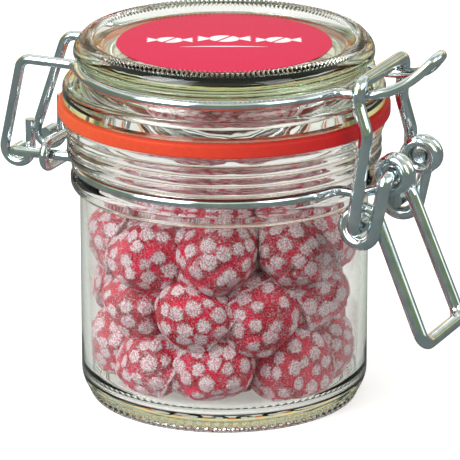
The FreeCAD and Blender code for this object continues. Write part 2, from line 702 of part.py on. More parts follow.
def candy_centres():
    """Candies in staggered rings against the glass, and a second shell that fills between."""
    candy = size("candy_radius").number
    press = size("candy_press").number
    ring = INSIDE.number - candy + press
    inner = size("inner_reach").number
    lowest = FLOOR.number + candy - press
    centres = []
    for layer in range(LAYERS):
        level = lowest + size("layer_rise").number * layer
        for index in range(CANDIES_PER_LAYER):
            bearing = 2 * math.pi * (index + 0.5 * layer + FIRST_TURN) / CANDIES_PER_LAYER
            bearing += SWAY * math.sin(5.1 * index + 2.3 * layer)
            reach = ring - PULL_IN * (1 + math.sin(3.7 * index + 1.9 * layer)) / 2
            height = max(level + LIFT * math.sin(2.9 * index + 4.1 * layer), lowest)
            centres.append((reach * math.cos(bearing), reach * math.sin(bearing), height))
        for index in range(INNER_CANDIES):
            bearing = 2 * math.pi * (index + 0.5 * layer) / INNER_CANDIES
            height = level + INNER_LIFT * math.sin(1.7 * index + layer)
            centres.append((inner * math.cos(bearing), inner * math.sin(bearing), height))
    return centres


def side_reach(centres, bearing, z, core, limit):
    """How far the heap reaches from the axis along a bearing, at a level."""
    candy = size("candy_radius").number
    reach = core
    for x, y, level in centres:
        along = x * math.cos(bearing) + y * math.sin(bearing)
        beside = y * math.cos(bearing) - x * math.sin(bearing)
        bulge = candy ** 2 - (z - level) ** 2 - beside ** 2
        if bulge > 0:
            reach = max(reach, along + math.sqrt(bulge))
    return min(reach, limit)


def top_level(centres, px, py, core_top):
    """Level of the heap's top over a place."""
    candy = size("candy_radius").number
    level = core_top
    for x, y, z in centres:
        bulge = candy ** 2 - (px - x) ** 2 - (py - y) ** 2
        if bulge > 0:
            level = max(level, z + math.sqrt(bulge))
    return level


def candy_heap():
    """The heap as one faceted solid out to its uneven outline: a core with the candies' bulges."""
    centres = candy_centres()
    candy = size("candy_radius").number
    core = size("heap_core_radius").number
    limit = INSIDE.number - size("heap_gap").number
    floor = FLOOR.number + size("heap_gap").number
    core_top = max(z for x, y, z in centres)
    bearings = [2 * math.pi * index / AROUND for index in range(AROUND)]
    rings = []
    for index in range(SIDE_LEVELS + 1):
        z = floor + (core_top - floor) * index / SIDE_LEVELS
        rounding = size("floor_round").number - (z - floor)
        clear = limit - max(rounding, 0.0)
        level = max(z, floor + candy / 4)
        reaches = [side_reach(centres, bearing, level, core, clear) for bearing in bearings]
        rings.append([FreeCAD.Vector(reach * math.cos(bearing), reach * math.sin(bearing), z)
                      for reach, bearing in zip(reaches, bearings)])
    edge = rings[-1]
    for index in range(1, TOP_RINGS):
        share = 1 - index / TOP_RINGS
        rings.append([
            FreeCAD.Vector(p.x * share, p.y * share,
                           top_level(centres, p.x * share, p.y * share, core_top))
            for p in edge])
    bottom = FreeCAD.Vector(0, 0, floor)
    top = FreeCAD.Vector(0, 0, top_level(centres, 0, 0, core_top))
    triangles = []
    for index in range(AROUND):
        after = (index + 1) % AROUND
        triangles.append((bottom, rings[0][after], rings[0][index]))
        triangles.append((top, rings[-1][index], rings[-1][after]))
        for low, high in zip(rings, rings[1:]):
            triangles.append((low[index], low[after], high[after]))
            triangles.append((low[index], high[after], high[index]))
    faces = [Part.Face(Part.makePolygon([a, b, c, a])) for a, b, c in triangles]
    heap = doc.addObject("Part::Feature", "candy_heap")
    heap.Label = "candy_heap"
    heap.Shape = Part.Solid(Part.Shell(faces))
    return heap


# ---------------------------------------------------------------- the whole jar

def build():
    wires, arm = neck_wires()
    pieces = [jar_glass(), lid_glass(), rubber_ring(), lid_label()]
    pieces += wires + [arm_link(arm), lid_wire(), lever_wire(), bail_wire(), candy_heap()]
    doc.recompute()
    return pieces


def check(pieces):
    for item in doc.Objects:
        if "Invalid" in item.State or "Error" in item.State:
            raise ValueError("%s failed: %s" % (item.Label, item.State))
    for piece in pieces:
        shape = piece.Shape
        if shape.isNull() or not shape.isValid() or len(shape.Solids) != 1 or shape.Volume <= 0:
            raise ValueError("%s is not one valid solid" % piece.Label)


def write(pieces):
    os.makedirs("parts", exist_ok=True)
    for piece in pieces:
        piece.Shape.exportStep(os.path.join("parts", piece.Label + ".step"))
        print("%-16s %9.1f mm3" % (piece.Label, piece.Shape.Volume))


parts = build()
check(parts)
write(parts)
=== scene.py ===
import math

import bmesh
import bpy
import numpy as np
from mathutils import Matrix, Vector


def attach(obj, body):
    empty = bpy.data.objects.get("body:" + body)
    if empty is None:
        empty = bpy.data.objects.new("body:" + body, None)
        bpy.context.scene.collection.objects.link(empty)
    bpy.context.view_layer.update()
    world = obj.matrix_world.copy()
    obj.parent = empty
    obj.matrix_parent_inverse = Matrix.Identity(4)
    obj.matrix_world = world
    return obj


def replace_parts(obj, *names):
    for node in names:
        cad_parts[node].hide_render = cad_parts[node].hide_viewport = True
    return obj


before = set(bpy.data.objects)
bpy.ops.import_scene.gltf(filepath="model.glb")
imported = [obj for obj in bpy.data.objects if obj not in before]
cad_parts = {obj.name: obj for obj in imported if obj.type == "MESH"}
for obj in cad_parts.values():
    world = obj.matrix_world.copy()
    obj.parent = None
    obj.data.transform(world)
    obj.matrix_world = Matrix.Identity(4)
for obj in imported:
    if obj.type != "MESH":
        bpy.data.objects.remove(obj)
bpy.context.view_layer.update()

MM = 0.001

# Radii and heights of the jar, in millimetres, as the frame has them.
BODY = 30.0
INSIDE = 28.1
MOUTH = 27.8
FLOOR = 3.5
SHOULDER = 44.9
NECK_FLOOR = 29.56
RIM_TOP = 60.25
FLANGE_BOTTOM = 63.45
COLLAR_FLOOR = 29.0
FLANK_Z = 73.75
BEAD_FOOT_Z = 76.05
RECESS_FLOOR = 75.05
LABEL_RADIUS = 22.2
LABEL_GAP = 0.02
LABEL_THICK = 0.2

# Milled edges: teeth, mesh points to a tooth, and how deep the notches go, in millimetres.
HEEL_TEETH = 96
BEAD_TEETH = 176
TOOTH_POINTS = 4
HEEL_NOTCH = 0.6
BEAD_NOTCH_IN = 0.5
BEAD_NOTCH_DOWN = 0.8
FIRE_POLISH = 0.35

# The way the camera looks, in degrees round the jar and above it.
VIEW_AZIMUTH = 25.0
VIEW_ELEVATION = 17.4


# ---------------------------------------------------------------- meshes

def make_piece(name, verts, faces, body, mat, sharp=35.0):
    mesh = bpy.data.meshes.new(name)
    mesh.from_pydata(verts, [], faces)
    mesh.update()
    mesh.polygons.foreach_set("use_smooth", [True] * len(mesh.polygons))
    if sharp is not None:
        mesh.set_sharp_from_angle(angle=math.radians(sharp))
    mesh.materials.append(mat)
    obj = bpy.data.objects.new(name, mesh)
    bpy.context.scene.collection.objects.link(obj)
    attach(obj, body)
    return obj


def arc_points(start, end, radius, lean, step=9.0):
    """Points from start up to, not with, end along an arc; lean 1 has its centre on the left."""
    chord = end - start
    offset = math.sqrt(max(radius * radius - chord.length_squared / 4.0, 0.0))
    left = Vector((-chord.y, chord.x)).normalized()
    centre = (start + end) / 2.0 + left * (offset * lean)
    first = math.atan2(start.y - centre.y, start.x - centre.x)
    last = math.atan2(end.y - centre.y, end.x - centre.x)
    if lean > 0 and last < first:
        last += 2 * math.pi
    if lean < 0 and last > first:
        last -= 2 * math.pi
    count = max(3, math.ceil(abs(last - first) / math.radians(step)))
    return [centre + Vector((math.cos(a), math.sin(a))) * radius
            for a in np.linspace(first, last, count, endpoint=False)]


def sampled(outline):
    """A profile's points, from corners (r, z) or (r, z, radius, lean) where an arc leads on."""
    points = []
    for corner, after in zip(outline, outline[1:] + outline[:1]):
        start = Vector(corner[:2])
        if len(corner) == 2:
            points.append(start)
        else:
            points += arc_points(start, Vector(after[:2]), corner[2], corner[3])
    return points


def softened(points, reach, corner_angle=14.0, steps=4):
    """The same profile with its corners rounded off, as fire-polished glass has them."""
    out = [points[0]]
    for before, corner, after in zip(points, points[1:], points[2:]):
        into = corner - before
        away = after - corner
        if into.angle(away, 0.0) < math.radians(corner_angle):
            out.append(corner)
            continue
        near = corner - into.normalized() * min(reach, into.length * 0.45)
        far = corner + away.normalized() * min(reach, away.length * 0.45)
        for t in np.linspace(0.0, 1.0, steps + 1):
            out.append(near * (1 - t) ** 2 + corner * (2 * t * (1 - t)) + far * t ** 2)
    out.append(points[-1])
    return out


def lathe(profile, segments, relief=None, closed=False):
    """Turned mesh in metres. An open profile starts and ends on the axis. relief moves points."""
    radii = np.array([p.x for p in profile])
    levels = np.array([p.y for p in profile])
    angles = np.arange(segments) * (2 * math.pi / segments)
    if not closed:
        poles = [(0.0, 0.0, levels[0] * MM), (0.0, 0.0, levels[-1] * MM)]
        radii = radii[1:-1]
        levels = levels[1:-1]
    r = np.repeat(radii[:, None], segments, axis=1)
    z = np.repeat(levels[:, None], segments, axis=1)
    if relief is not None:
        r, z = relief(r, z, angles[None, :])
    verts = np.stack([r * np.cos(angles) * MM, r * np.sin(angles) * MM, z * MM], axis=-1)
    verts = verts.reshape(-1, 3).tolist()
    rows = len(radii)
    faces = []
    for row in range(rows if closed else rows - 1):
        low = row * segments
        high = (row + 1) % rows * segments
        for k in range(segments):
            after = (k + 1) % segments
            faces.append((low + k, low + after, high + after, high + k))
    if not closed:
        first = len(verts)
        verts += poles
        top = (rows - 1) * segments
        for k in range(segments):
            after = (k + 1) % segments
            faces.append((first, after, k))
            faces.append((first + 1, top + k, top + after))
    return verts, faces


# ---------------------------------------------------------------- node helpers

def new_material(name):
    mat = bpy.data.materials.new(name)
    mat.use_nodes = True
    tree = mat.node_tree
    shader = tree.nodes["Principled BSDF"]
    return mat, tree, shader


def add(tree, kind, inputs=(), **settings):
    """A node with its settings and, by input name or number, its values or links."""
    item = tree.nodes.new(kind)
    for key, value in settings.items():
        setattr(item, key, value)
    for key, value in dict(inputs).items():
        if isinstance(value, bpy.types.NodeSocket):
            tree.links.new(value, item.inputs[key])
        else:
            item.inputs[key].default_value = value
    return item


def math_node(tree, operation, *values, clamp=False):
    return add(tree, "ShaderNodeMath", dict(enumerate(values)),
               operation=operation, use_clamp=clamp).outputs[0]


def mix_color(tree, factor, first, second, blend="MIX"):
    item = add(tree, "ShaderNodeMix", {0: factor, 6: first, 7: second},
               data_type="RGBA", blend_type=blend)
    return item.outputs[2]


def ramp(tree, value, stops, interpolation="LINEAR"):
    item = add(tree, "ShaderNodeValToRGB", {0: value})
    item.color_ramp.interpolation = interpolation
    marks = item.color_ramp.elements
    while len(marks) < len(stops):
        marks.new(0.5)
    for mark, (place, color) in zip(marks, stops):
        mark.position = place
        mark.color = color if isinstance(color, tuple) else (color, color, color, 1.0)
    return item.outputs[0]


def object_coordinates(tree):
    return add(tree, "ShaderNodeTexCoord").outputs["Object"]


def noise(tree, where, scale, detail=3.0, roughness=0.5):
    return add(tree, "ShaderNodeTexNoise",
               {"Vector": where, "Scale": scale, "Detail": detail, "Roughness": roughness})


def bump(tree, shader, height, strength, distance):
    item = add(tree, "ShaderNodeBump",
               {"Height": height, "Strength": strength, "Distance": distance})
    tree.links.new(item.outputs[0], shader.inputs["Normal"])


# ---------------------------------------------------------------- materials

def glass_material(name, edge, passing, tint, density, ripple):
    """Clear pressed glass: faint ripples, greener where it is seen edge-on, lamps shine through."""
    mat, tree, shader = new_material(name)
    slant = add(tree, "ShaderNodeLayerWeight", {"Blend": 0.5}).outputs["Facing"]
    through = ramp(tree, slant, [(0.5, (1.0, 1.0, 1.0, 1.0)), (0.9, edge)])
    tree.links.new(through, shader.inputs["Base Color"])
    shader.inputs["Roughness"].default_value = 0.0
    shader.inputs["IOR"].default_value = 1.5
    shader.inputs["Transmission Weight"].default_value = 1.0
    where = object_coordinates(tree)
    waves = noise(tree, where, 140.0, 2.0).outputs[0]
    bump(tree, shader, waves, ripple, 0.0006)
    clear = add(tree, "ShaderNodeBsdfTransparent", {"Color": passing})
    light = add(tree, "ShaderNodeLightPath")
    both = add(tree, "ShaderNodeMixShader",
               {0: light.outputs["Is Shadow Ray"], 1: shader.outputs[0], 2: clear.outputs[0]})
    out = tree.nodes["Material Output"]
    tree.links.new(both.outputs[0], out.inputs["Surface"])
    soak = add(tree, "ShaderNodeVolumeAbsorption", {"Color": tint, "Density": density})
    tree.links.new(soak.outputs[0], out.inputs["Volume"])
    return mat


def wire_material():
    """Bright zinc-plated steel with fine drawing marks and cloudy patches."""
    mat, tree, shader = new_material("zinc_wire")
    where = object_coordinates(tree)
    shader.inputs["Metallic"].default_value = 1.0
    cloud = noise(tree, where, 260.0, 4.0).outputs[0]
    tone = ramp(tree, cloud, [(0.3, (0.60, 0.68, 0.70, 1.0)), (0.7, (0.88, 0.93, 0.95, 1.0))])
    tree.links.new(tone, shader.inputs["Base Color"])
    gloss = ramp(tree, cloud, [(0.3, 0.14), (0.75, 0.07)])
    tree.links.new(gloss, shader.inputs["Roughness"])
    marks = noise(tree, where, 2600.0, 2.0).outputs[0]
    bump(tree, shader, marks, 0.06, 0.0001)
    return mat


def rubber_material():
    """Orange-red rubber with painted shade, lit orange on the -x side and darker red towards +x,
    and a faint moulded grain.
    """
    mat, tree, shader = new_material("orange_rubber")
    where = object_coordinates(tree)
    x = add(tree, "ShaderNodeSeparateXYZ", {0: where}).outputs[0]
    # Painted shade: along x the colour runs from lit orange to shaded deep red, away from the key
    # lamp.
    along = math_node(tree, "MULTIPLY_ADD", x, 14.5, 0.5, clamp=True)
    tone = ramp(tree, along, [(0.05, (0.80, 0.11, 0.026, 1.0)), (0.55, (0.72, 0.055, 0.018, 1.0)),
                              (0.95, (0.45, 0.004, 0.006, 1.0))])
    grain = noise(tree, where, 900.0, 4.0).outputs[0]
    darker = ramp(tree, grain, [(0.3, 0.88), (0.7, 1.0)])
    tree.links.new(mix_color(tree, 1.0, tone, darker, "MULTIPLY"), shader.inputs["Base Color"])
    shader.inputs["Roughness"].default_value = 0.5
    shader.inputs["Specular IOR Level"].default_value = 0.25
    bump(tree, shader, grain, 0.15, 0.0002)
    return mat


def label_material():
    """Raspberry-pink paper with a faint fibre and print grain."""
    mat, tree, shader = new_material("pink_paper")
    where = object_coordinates(tree)
    fibre = noise(tree, where, 1500.0, 5.0).outputs[0]
    tone = ramp(tree, fibre, [(0.25, (0.63, 0.022, 0.074, 1.0)), (0.75, (0.70, 0.032, 0.092, 1.0))])
    tree.links.new(tone, shader.inputs["Base Color"])
    shader.inputs["Roughness"].default_value = 0.6
    shader.inputs["Specular IOR Level"].default_value = 0.2
    bump(tree, shader, fibre, 0.1, 0.0001)
    return mat


def print_material():
    """White print on the label."""
    mat, tree, shader = new_material("white_print")
    fibre = noise(tree, object_coordinates(tree), 1500.0, 5.0).outputs[0]
    tone = ramp(tree, fibre, [(0.25, (0.86, 0.84, 0.84, 1.0)), (0.75, (0.93, 0.92, 0.92, 1.0))])
    tree.links.new(tone, shader.inputs["Base Color"])
    shader.inputs["Roughness"].default_value = 0.5
    return mat


def candy_material():
    """Red boiled sugar with white sugared bumps. The mesh says where: spots, frost, edge, painted
    shade.
    """
    mat, tree, shader = new_material("sugared_candy")
    where = object_coordinates(tree)
    berry = add(tree, "ShaderNodeAttribute", attribute_name="berry")
    parts = add(tree, "ShaderNodeSeparateColor", {0: berry.outputs["Color"]})
    spot, frost, edge = parts.outputs[0], parts.outputs[1], parts.outputs[2]
    painted_shade_depth = berry.outputs["Alpha"]
    grains = add(tree, "ShaderNodeTexVoronoi", {"Vector": where, "Scale": 2900.0})
    grain = grains.outputs["Distance"]
    mottle = noise(tree, where, 1700.0, 4.0, 0.7).outputs[0]
    fuzz = math_node(tree, "MULTIPLY_ADD", mottle, 2.6, -1.3)
    white = ramp(tree, math_node(tree, "ADD", spot, fuzz), [(0.28, 0.0), (0.58, 1.0)])
    patches = noise(tree, where, 420.0, 3.0).outputs[0]
    dusted = math_node(tree, "MULTIPLY_ADD", patches, 0.6, -0.3)
    dusted = math_node(tree, "ADD", math_node(tree, "ADD", frost, dusted), fuzz)
    dust = ramp(tree, dusted, [(0.36, 0.0), (0.66, 0.85)])
    curls = noise(tree, where, 2600.0, 1.0, 0.4).outputs[0]
    curls = ramp(tree, curls, [(0.52, 0.0), (0.56, 0.8), (0.60, 0.8), (0.64, 0.0)])
    curls = math_node(tree, "MULTIPLY", curls, math_node(tree, "MULTIPLY_ADD", patches, 1.8, -0.20,
                                                        clamp=True))
    rim = ramp(tree, math_node(tree, "MULTIPLY_ADD", fuzz, 0.8, edge), [(0.25, 0.0), (0.5, 1.0)])
    cover = math_node(tree, "MAXIMUM", math_node(tree, "MAXIMUM", white, dust),
                      math_node(tree, "MAXIMUM", rim, curls))
    deep = noise(tree, where, 300.0, 2.0).outputs[0]
    red = ramp(tree, deep, [(0.35, (0.44, 0.0, 0.016, 1.0)), (0.65, (0.76, 0.003, 0.058, 1.0))])
    sugar = ramp(tree, grain, [(0.0, (0.88, 0.87, 0.87, 1.0)), (0.35, (0.84, 0.79, 0.80, 1.0)),
                               (0.65, (0.70, 0.34, 0.41, 1.0))])
    tone = mix_color(tree, cover, red, sugar)
    # Painted shade: the colour is multiplied down towards dark red where a point lies deep in the
    # heap, where less light reaches.
    shade = ramp(tree, painted_shade_depth, [(0.0, (0.66, 0.20, 0.26, 1.0)), (1.0, (1.0, 1.0, 1.0, 1.0))])
    tree.links.new(mix_color(tree, 1.0, tone, shade, "MULTIPLY"), shader.inputs["Base Color"])
    gloss = math_node(tree, "MULTIPLY_ADD", cover, 0.35, 0.4)
    tree.links.new(gloss, shader.inputs["Roughness"])
    shader.inputs["Specular IOR Level"].default_value = 0.15
    shader.inputs["Subsurface Weight"].default_value = 0.1
    shader.inputs["Subsurface Radius"].default_value = (0.0012, 0.0002, 0.0003)
    shader.inputs["Subsurface Scale"].default_value = 1.0
    height = math_node(tree, "MULTIPLY", math_node(tree, "ADD", mottle, grain), cover)
    bump(tree, shader, height, 0.8, 0.0004)
    return mat


# ---------------------------------------------------------------- jar and lid

def knurl_wave(angles, count):
    """0 on the teeth of a milled ring, 1 in its notches.

    The eighth of a turn puts two of the four points to a tooth in the notch, two on the tooth.
    """
    return np.clip(np.cos(angles * count + math.pi / 4) * 1.8 - 0.2, 0.0, 1.0)


def jar_piece(mat):
    """The jar's glass, turned from its profile, with a milled heel."""
    outline = [
        (0.0, 0.9), (24.8, 0.9), (25.7, 0.0), (28.0, 0.0), (29.2, 2.5, 6.0, 1), (BODY, 5.5),
        (BODY, SHOULDER), (30.4, SHOULDER, 1.575, 1), (31.9, 46.4), (31.9, 47.4, 1.575, 1),
        (30.9, 48.2), (NECK_FLOOR, 49.1), (NECK_FLOOR, 50.9),
    ]
    for rib in range(3):
        outline.append((32.3, 51.8 + 2.05 * rib, 1.6, 1))
    outline += [
        (32.3, 57.95), (33.3, 58.55), (33.3, 59.65, 0.63, 1), (32.7, RIM_TOP),
        (MOUTH + 0.6, RIM_TOP, 0.63, 1), (MOUTH, 59.65), (MOUTH, 47.4), (INSIDE, SHOULDER),
        (INSIDE, 7.5, 4.08, -1), (24.1, FLOOR), (0.0, FLOOR),
    ]
    points = softened(sampled(outline[:-1]) + [Vector((0.0, FLOOR))], FIRE_POLISH)
    finer = [points[0]]
    for before, point in zip(points, points[1:]):
        if 0.0 <= before.y < 2.5 and point.y <= 2.6 and 27.9 < point.x < 29.3 and before.x > 27.9:
            finer += [before.lerp(point, t) for t in (0.33, 0.67)]
        finer.append(point)

    def relief(r, z, angles):
        on_heel = np.clip((r - 28.0) / 0.2, 0, 1) * np.clip((2.4 - z) / 0.5, 0, 1)
        on_heel = on_heel * (z < 3.0) * np.clip(z / 0.5, 0, 1)
        return r - HEEL_NOTCH * on_heel * knurl_wave(angles, HEEL_TEETH), z
    verts, faces = lathe(finer, HEEL_TEETH * TOOTH_POINTS, relief)
    piece = make_piece("jar_body", verts, faces, "jar", mat)
    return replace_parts(piece, "jar_glass")


def lid_piece(mat):
    """The lid's glass, turned from its profile, with a milled bead round its recess."""
    outline = [
        (0.0, 70.65), (22.6, 70.65, 2.55, -1), (25.1, 68.15), (25.1, 60.5, 0.867, 1),
        (25.95, 59.65, 0.867, 1), (26.8, 60.5), (26.8, FLANGE_BOTTOM),
        (32.8, FLANGE_BOTTOM, 0.63, 1), (33.4, 64.05), (33.4, 66.25, 1.428, 1), (32.0, 67.65),
        (30.25, 68.55), (COLLAR_FLOOR, 69.45), (COLLAR_FLOOR, 71.25), (30.25, 72.15, 1.9, 1),
        (31.1, FLANK_Z, 2.9, 1), (29.9, BEAD_FOOT_Z, 1.65, 1), (26.9, BEAD_FOOT_Z),
        (25.0, RECESS_FLOOR), (0.0, RECESS_FLOOR),
    ]
    points = softened(sampled(outline[:-1]) + [Vector((0.0, RECESS_FLOOR))], FIRE_POLISH)

    def relief(r, z, angles):
        wave = knurl_wave(angles, BEAD_TEETH)
        on_bead = np.clip((z - BEAD_FOOT_Z) / 0.35, 0, 1) * np.clip((30.0 - r) / 0.3, 0, 1)
        outside = np.clip((z - BEAD_FOOT_Z - 0.1) / 0.3, 0, 1) * np.clip((r - 28.0) / 0.5, 0, 1)
        return r - BEAD_NOTCH_IN * outside * wave, z - BEAD_NOTCH_DOWN * on_bead * wave
    verts, faces = lathe(points, BEAD_TEETH * TOOTH_POINTS, relief)
    piece = make_piece("lid_body", verts, faces, "lid", mat)
    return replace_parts(piece, "lid_glass")


def ring_piece(mat):
    """The sealing ring, with its outer corners rounded."""
    outline = [
        (27.2, 60.45), (33.69, 60.45, 0.714, 1), (34.39, 61.15), (34.39, 62.73, 0.714, 1),
        (33.69, 63.43), (27.2, 63.43),
    ]
    verts, faces = lathe(sampled(outline), 180, closed=True)
    piece = make_piece("seal_ring", verts, faces, "lid", mat)
    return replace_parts(piece, "rubber_ring")


def label_piece(mat):
    """Paper disc with a slightly rolled edge."""
    low = RECESS_FLOOR + LABEL_GAP
    high = low + LABEL_THICK
    outline = [
        (0.0, low), (LABEL_RADIUS - 0.06, low), (LABEL_RADIUS, low + 0.06),
        (LABEL_RADIUS - 0.02, low + 0.16), (LABEL_RADIUS - 0.15, high), (0.0, high),
    ]
    verts, faces = lathe([Vector(point) for point in outline], 256)
    piece = make_piece("pink_label", verts, faces, "lid", mat)
    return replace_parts(piece, "lid_label")


def slab(outlines, level, thickness):
    """Thin flat shapes, each a closed outline in millimetres, lying on the label."""
    verts, faces = [], []
    for points in outlines:
        first = len(verts)
        count = len(points)
        for z in (level, level + thickness):
            verts += [(x * MM, y * MM, z * MM) for x, y in points]
        faces.append([first + k for k in reversed(range(count))])
        faces.append([first + count + k for k in range(count)])
        for k in range(count):
            after = (k + 1) % count
            faces.append((first + k, first + after, first + count + after, first + count + k))
    return verts, faces


def sweet_outlines(cx, cy, scale):
    """A wrapped sweet: a round middle in two halves with a slanted gap, and two fans."""
    shapes = []
    tilt = math.radians(60.0)
    half_gap = 0.28
    for side in (-1, 1):
        half = []
        for t in np.linspace(-90.0, 90.0, 25):
            a = math.radians(t) + tilt + side * math.pi / 2
            half.append((2.6 * math.cos(a) - side * half_gap * math.sin(tilt),
                         2.1 * math.sin(a) + side * half_gap * math.cos(tilt)))
        shapes.append(half)
        fan = [(side * 2.7, 0.35), (side * 5.0, 1.9), (side * 4.65, 1.0), (side * 5.1, 0.35),
               (side * 4.7, -0.3), (side * 5.0, -1.0), (side * 4.9, -1.8), (side * 2.7, -0.35)]
        shapes.append(fan if side < 0 else fan[::-1])
    return [[(cx + x * scale, cy + y * scale) for x, y in shape] for shape in shapes]


def motif_piece(mat):
    """Generic white print: a row of wrapped sweets over a tapering line."""
    shapes = []
    for cx, cy, scale in ((-11.2, 1.6, 0.95), (0.0, 2.6, 1.1), (11.2, 1.6, 0.95)):
        shapes += sweet_outlines(cx, cy, scale)
    along = np.linspace(-9.0, 9.0, 25)
    middle = -3.4 - 0.004 * along ** 2
    half_width = 0.3 * (1 - (along / 9.0) ** 2)
    below = list(zip(along, middle - half_width))
    above = list(zip(along, middle + half_width))
    shapes.append(below[:-1] + above[:0:-1])
    turn = math.radians(VIEW_AZIMUTH)
    shapes = [[(x * math.cos(turn) - y * math.sin(turn), x * math.sin(turn) + y * math.cos(turn))
               for x, y in shape] for shape in shapes]
    verts, faces = slab(shapes, RECESS_FLOOR + LABEL_THICK, 0.05)
    return make_piece("label_print", verts, faces, "lid", mat, sharp=30.0)


# ---------------------------------------------------------------- candies

# One candy's radius, and by how much a candy is pressed flat where it leans on the glass.
CANDY = 8.3
PRESSED = 0.6
DRUPELETS = 62
SEAM_TILT = 0.55

# The heap: layers, candies to a layer in its outer and inner ring, and where they lie.
LAYERS = 3
LAYER_RISE = 11.9
PER_LAYER = 9
TURN = 0.35
INNER = 6
INNER_REACH = 12.5
MIDDLE_REACH = 0.8
MIDDLE_LEVEL = 30.6
REACH = 27.85
BOTTOM_ROUND = 4.0

# The outer candies' three shapes, as stretches along their own axes.
KINDS = {"candies_round": (1.02, 1.0, 1.0), "candies_long": (1.10, 0.98, 0.98),
         "candies_squat": (0.97, 1.05, 1.08)}


def unit_sphere(subdivisions):
    """Points and triangles of a sphere of radius 1."""
    bm = bmesh.new()
    bmesh.ops.create_icosphere(bm, subdivisions=subdivisions, radius=1.0)
    verts = np.array([v.co[:] for v in bm.verts])
    faces = np.array([[v.index for v in f.verts] for f in bm.faces])
    bm.free()
    return verts / np.linalg.norm(verts, axis=1)[:, None], faces


def spread_points(count, rng):
    """Directions spread over a sphere, a little out of line."""
    k = np.arange(count) + 0.5
    polar = np.arccos(1 - 2 * k / count)
    turn = math.pi * (1 + math.sqrt(5)) * k
    points = np.stack([np.cos(turn) * np.sin(polar), np.sin(turn) * np.sin(polar),
                       np.cos(polar)], axis=1)
    points += rng.normal(0.0, 0.055, points.shape)
    return points / np.linalg.norm(points, axis=1)[:, None]


def turned_to(way, rng):
    """A rotation that takes the z axis to a direction, at any turn about it."""
    way = way / np.linalg.norm(way)
    side = np.cross(way, rng.normal(size=3))
    side /= np.linalg.norm(side)
    return np.stack([side, np.cross(way, side), way], axis=1)


def unit_vectors(count, rng):
    """Directions at random."""
    ways = rng.normal(size=(count, 3))
    return ways / np.linalg.norm(ways, axis=1)[:, None]


def berry(sphere, shape, rng, size, way):
    """One candy, its seam square to a direction: points, and per point spot, frost and edge."""
    centres = spread_points(DRUPELETS, rng)
    nearness = sphere @ centres.T
    own = nearness.argmax(axis=1)
    angle = np.arccos(np.clip(nearness.max(axis=1), -1, 1)) * size
    swell = np.sqrt(np.clip(1 - (angle / 2.3) ** 2, 0, 1))
    spot_size = rng.uniform(1.2, 1.75, DRUPELETS)[own]
    spot = np.clip(0.5 + (spot_size - angle) / 1.1, 0, 1)
    ripples = sum(np.sin(sphere @ side * rng.uniform(3.0, 6.0) + rng.uniform(0, 6))
                  for side in unit_vectors(5, rng))
    tatters = sum(np.sin(sphere @ side * 21.0 + rng.uniform(0, 6))
                  for side in unit_vectors(4, rng))
    seam = sphere[:, 2] * size - 0.3 * ripples
    edge = np.exp(-(seam / 0.36) ** 2)
    radius = size - 0.5 + 0.5 * swell + 0.2 * ripples + (0.95 + 0.25 * tatters) * edge
    points = sphere * radius[:, None] * np.array(shape)
    for side in unit_vectors(7, rng):
        flat = size * rng.uniform(0.74, 0.90)
        over = np.clip(points @ side - flat, 0, None)
        points -= 0.72 * over[:, None] * side
    frost = rng.choice([0.12, 0.18, 0.26, 0.34, 0.46]) + 0.06 * ripples
    marks = np.stack([spot, np.clip(frost, 0, 1), edge], axis=1)
    return points @ turned_to(way, rng).T, marks


def candy_places():
    """Candies in staggered rings against the glass, and a second shell that fills between."""
    ring = INSIDE - CANDY + PRESSED
    lowest = FLOOR + CANDY - PRESSED
    outer, inner = [], []
    for layer in range(LAYERS):
        level = lowest + LAYER_RISE * layer
        for index in range(PER_LAYER):
            bearing = 2 * math.pi * (index + 0.5 * layer + TURN) / PER_LAYER
            bearing += 0.09 * math.sin(5.1 * index + 2.3 * layer)
            reach = ring - 1.6 * (1 + math.sin(3.7 * index + 1.9 * layer)) / 2
            height = max(level + math.sin(2.9 * index + 4.1 * layer), lowest)
            outer.append((reach * math.cos(bearing), reach * math.sin(bearing), height))
        for index in range(INNER):
            bearing = 2 * math.pi * (index + 0.5 * layer) / INNER
            height = level + 0.8 * math.sin(1.7 * index + layer)
            inner.append((INNER_REACH * math.cos(bearing), INNER_REACH * math.sin(bearing),
                          height))
    inner.append((MIDDLE_REACH, 0.0, MIDDLE_LEVEL))
    return outer, inner


def kept_inside(points):
    """Points held within the glass: flattened where a candy leans on the side or the floor."""
    r = np.hypot(points[:, 0], points[:, 1])
    low = np.clip(FLOOR + BOTTOM_ROUND - points[:, 2], 0.0, BOTTOM_ROUND)
    limit = REACH - BOTTOM_ROUND + np.sqrt(BOTTOM_ROUND ** 2 - low ** 2)
    factor = np.minimum(1.0, limit / np.maximum(r, 1e-6))
    points[:, 0] *= factor
    points[:, 1] *= factor
    points[:, 2] = np.maximum(points[:, 2], FLOOR + 0.08)
    return points


def mark_candy(piece, marks):
    """Writes the marks that the candies' material reads, and a painted shade that is darker deeper
    in the heap.
    """
    points = np.array([v.co[:] for v in piece.data.vertices]) / MM
    # Painted shade: points near the axis and below the top of the heap, where less light reaches,
    # are marked darker.
    beside = (np.hypot(points[:, 0], points[:, 1]) - 15.5) / 7.5
    painted_shade_depth = np.clip(np.maximum(beside, (points[:, 2] - 34.0) / 6.0), 0, 1)
    layer = piece.data.color_attributes.new("berry", "FLOAT_COLOR", "POINT")
    layer.data.foreach_set("color", np.column_stack([marks, painted_shade_depth]).astype(np.float32).ravel())


